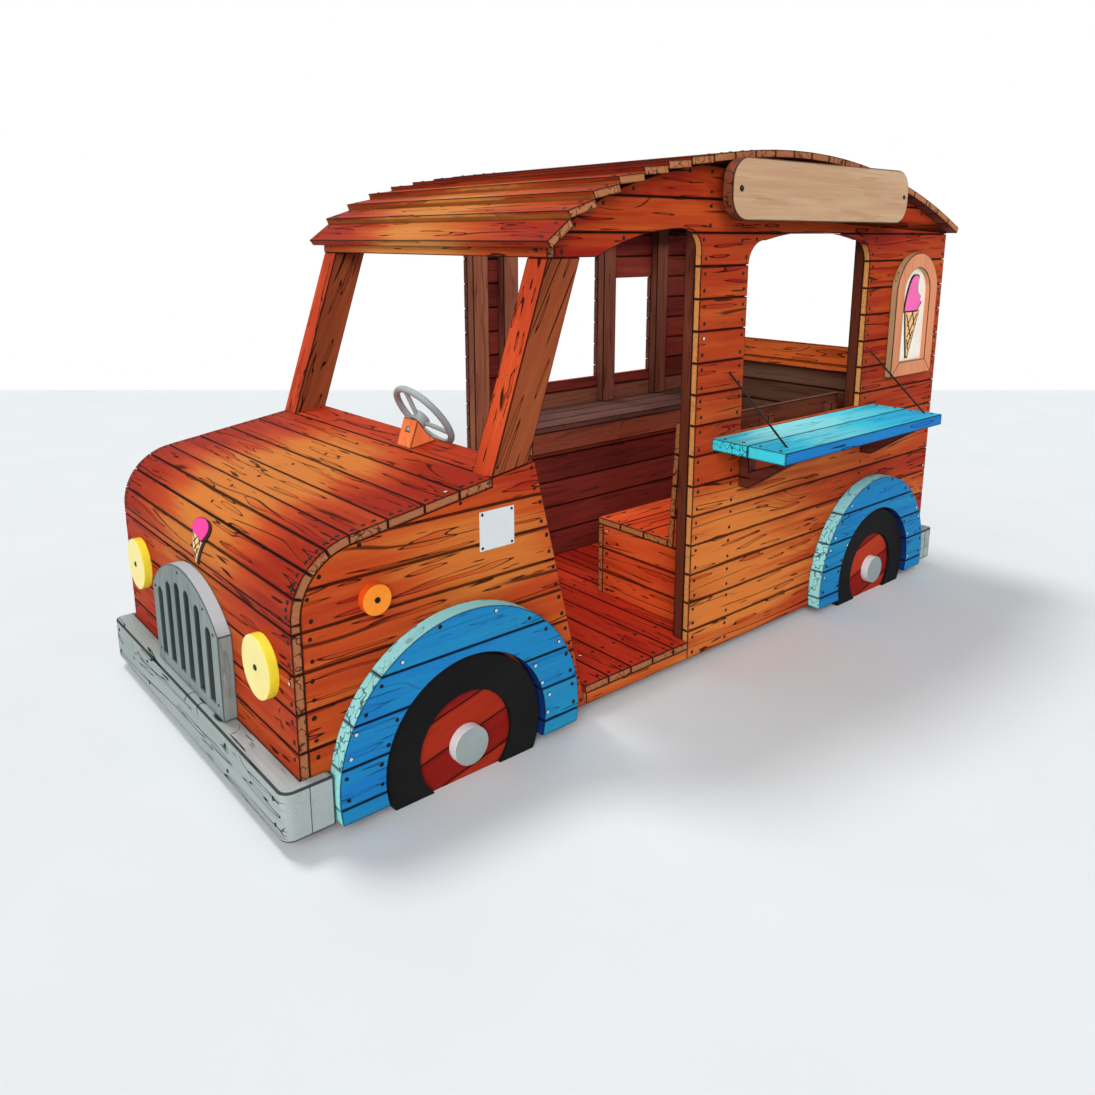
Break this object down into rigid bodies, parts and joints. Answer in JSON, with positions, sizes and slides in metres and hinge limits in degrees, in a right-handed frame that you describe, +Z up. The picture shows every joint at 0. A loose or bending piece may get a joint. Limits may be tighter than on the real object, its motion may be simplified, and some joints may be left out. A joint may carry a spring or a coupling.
{
  "type": "wooden play ice cream truck",
  "caption": "Timber play vehicle of stained boards with arched roof, open doorways, serving hatch with counter, blue wheel arches, grille and a turning steering wheel.",
  "frame": {"origin": "on the ground, on the centre line, midway between the front and rear wheels", "axes": "+Z up, -Y towards the front of the truck, +X towards its left side, where the counter is"},
  "size_m": [1.829, 3.5, 1.9461],
  "materials": {
    "timber": "orange-red stained softwood boards with open checks",
    "timber_dark": "dark brown stained posts and inner boards",
    "timber_red": "deep red stained boards",
    "pale_timber": "pale tan board with sanded edges",
    "blue_paint": "blue stained boards",
    "sky_paint": "sky-blue stained boards",
    "grey_paint": "light grey painted boards",
    "grille_grey": "mid-grey sheet",
    "lamp_yellow": "pale yellow disc with bright edge",
    "lamp_orange": "orange disc",
    "tyre_black": "black sheet",
    "hub_grey": "grey disc with light edge",
    "steel": "galvanised steel",
    "cream_paint": "cream sheet",
    "wheel_plastic": "light grey moulded rim"
  },
  "bodies": {
    "root": {"long_bearers": "timber_dark", "cross_bearers": "timber_dark", "floor_boards": "timber", "door_sills": "timber", "front_boards": "timber", "hood_boards": "timber", "side_front_left": "timber", "side_front_right": "timber", "side_rear_left": "timber", "side_rear_right": "timber", "rear_boards": "timber", "rear_rail": "timber", "wall_posts_left": "timber_dark", "wall_posts_right": "timber_dark", "windscreen_pillar_left": "timber", "windscreen_pillar_right": "timber", "header_front": "timber", "dash_boards": "timber", "roof_ribs": "timber_dark", "roof_boards": "timber", "bumper_front": "grey_paint", "bumper_rear": "grey_paint", "grille": "grille_grey", "headlamps": "lamp_yellow", "indicators": "lamp_orange", "fenders_front": "blue_paint", "fenders_rear": "blue_paint", "tyres": "tyre_black", "wheel_discs": "timber_red", "wheel_hubs": "hub_grey", "counter_boards": "sky_paint", "counter_brackets": "timber_dark", "counter_stays": "steel", "sign_board": "pale_timber", "sign_spacers": "steel", "picture_frame": "pale_timber", "picture_panel": "cream_paint", "steering_block": "timber", "bench_ends": "timber", "bench_side": "timber", "bench_seat": "timber", "bench_back": "timber", "bench_battens": "timber_dark", "worktop": "timber_dark", "worktop_front": "timber_dark"},
    "steering": {"steering_wheel": "wheel_plastic"}
  },
  "joints": [
    {"name": "steering_turn", "type": "hinge", "parent": "root", "child": "steering", "pos_m": [0.2, -0.92, 1.027], "axis": [0, 0.809, 0.5878], "continuous": true}
  ]
}
